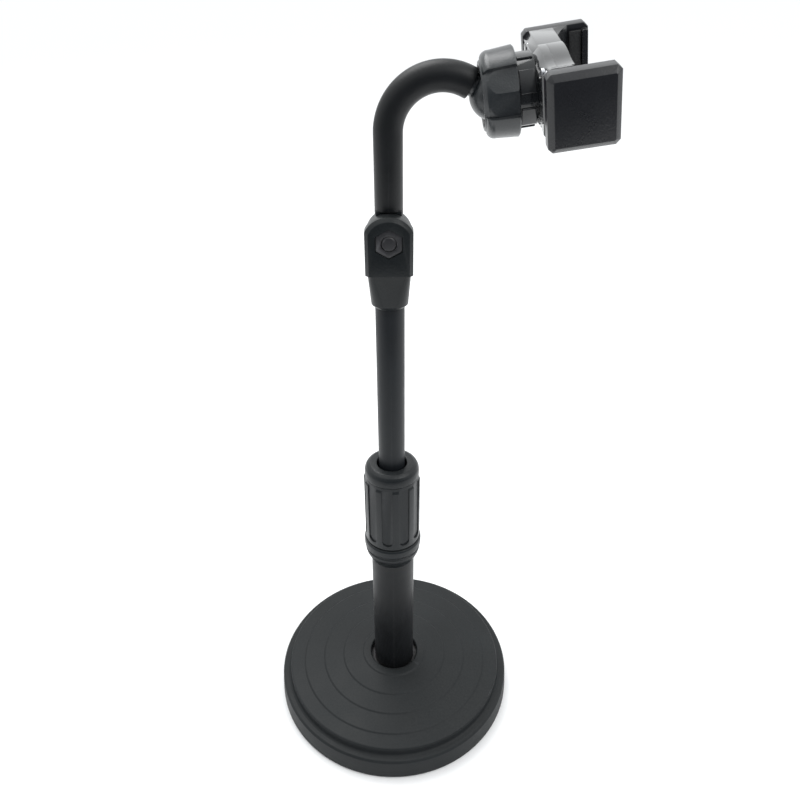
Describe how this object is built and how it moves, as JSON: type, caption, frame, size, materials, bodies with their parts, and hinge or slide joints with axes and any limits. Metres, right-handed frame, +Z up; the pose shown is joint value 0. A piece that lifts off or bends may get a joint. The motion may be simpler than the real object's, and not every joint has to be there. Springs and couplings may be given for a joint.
{
  "type": "desktop microphone stand",
  "caption": "Desktop stand with a weighted round base, telescopic twist-lock mast, bent tilting arm and a sprung phone clamp on a ball joint.",
  "frame": {"origin": "on the mast's axis, at the underside of the base's pad, which is the surface the stand rests on", "axes": "+Z up the mast, +X the way the arm bends, so the clamp looks towards +X, and its jaws slide nearly along Y, since the clamp rests rolled by about 6 degrees"},
  "size_m": [0.1378, 0.125, 0.3343],
  "materials": {
    "base_plastic": "fine moulded texture, matt black",
    "cast_iron": "as cast",
    "foot_rubber": "foam rubber",
    "zinc_steel": "zinc plated",
    "painted_tube": "black powder coat, satin",
    "grip_plastic": "satin moulded black",
    "nylon": "smooth dark nylon",
    "mast_paint": "black paint, satin",
    "head_plastic": "satin moulded black",
    "black_steel": "black oxide",
    "fibre": "fibre",
    "gloss_plastic": "glossy moulded black",
    "jaw_plastic": "satin moulded black",
    "pad_rubber": "soft matt rubber"
  },
  "bodies": {
    "base": {"base_shell": "base_plastic", "base_weight": "cast_iron", "base_pad": "foot_rubber", "shell_screws": "zinc_steel", "base_washer": "zinc_steel", "base_bolt": "zinc_steel", "tube_plug": "zinc_steel", "outer_tube": "painted_tube", "lock_ferrule": "grip_plastic", "lock_collet": "nylon"},
    "lock": {"lock_collar": "grip_plastic", "collar_cap": "grip_plastic"},
    "slider": {"slide_bush": "nylon"},
    "mast": {"inner_tube": "mast_paint", "mast_stop": "nylon", "mast_head": "head_plastic", "hinge_nut": "black_steel", "friction_washer": "fibre"},
    "arm": {"arm_knuckle": "head_plastic", "arm_tube": "painted_tube", "arm_ball": "gloss_plastic", "hinge_bolt": "black_steel", "hinge_washer": "black_steel"},
    "ball_pitch_seat": {"ball_seat": "nylon"},
    "ball_yaw_seat": {"seat_washer": "nylon"},
    "clamp": {"ball_socket": "gloss_plastic", "clamp_back": "gloss_plastic", "clamp_front": "gloss_plastic", "clamp_screws": "zinc_steel", "fixed_jaw": "jaw_plastic", "fixed_pad": "pad_rubber", "rest_pad": "pad_rubber", "jaw_springs": "zinc_steel"},
    "ball_lock": {"ball_nut": "grip_plastic"},
    "jaw": {"slide_jaw": "jaw_plastic", "slide_pad": "pad_rubber"}
  },
  "joints": [
    {"name": "lock_twist", "type": "hinge", "parent": "base", "child": "lock", "pos_m": [0, 0, 0.128], "axis": [0, 0, 1], "range_deg": [-60, 120]},
    {"name": "mast_height", "type": "slide", "parent": "base", "child": "slider", "axis": [0, 0, 1], "range_m": [-0.066, 0.017]},
    {"name": "mast_swivel", "type": "hinge", "parent": "slider", "child": "mast", "pos_m": [0, 0, 0.095], "axis": [0, 0, 1], "continuous": true},
    {"name": "arm_tilt", "type": "hinge", "parent": "mast", "child": "arm", "pos_m": [0, 0, 0.2634], "axis": [0, 1, 0], "range_deg": [-60, 75]},
    {"name": "ball_pitch", "type": "hinge", "parent": "arm", "child": "ball_pitch_seat", "pos_m": [0.03664, 0, 0.31404], "axis": [0, 1, 0], "range_deg": [0, 60]},
    {"name": "ball_yaw", "type": "hinge", "parent": "ball_pitch_seat", "child": "ball_yaw_seat", "pos_m": [0.03664, 0, 0.31404], "axis": [-0.1478, 0, 0.989], "range_deg": [-15, 15]},
    {"name": "ball_roll", "type": "hinge", "parent": "ball_yaw_seat", "child": "clamp", "pos_m": [0.03664, 0, 0.31404], "axis": [0.989, 0, 0.1478], "continuous": true},
    {"name": "ball_lock_twist", "type": "hinge", "parent": "clamp", "child": "ball_lock", "pos_m": [0.03664, 0, 0.31404], "axis": [0.989, 0, 0.1478], "range_deg": [-90, 60]},
    {"name": "jaw_slide", "type": "slide", "parent": "clamp", "child": "jaw", "axis": [0.0149, -0.9949, -0.0999], "range_m": [0, 0.03], "stiffness_N_per_m": 150, "springref_m": -0.02, "deforming": ["jaw_springs"]}
  ]
}
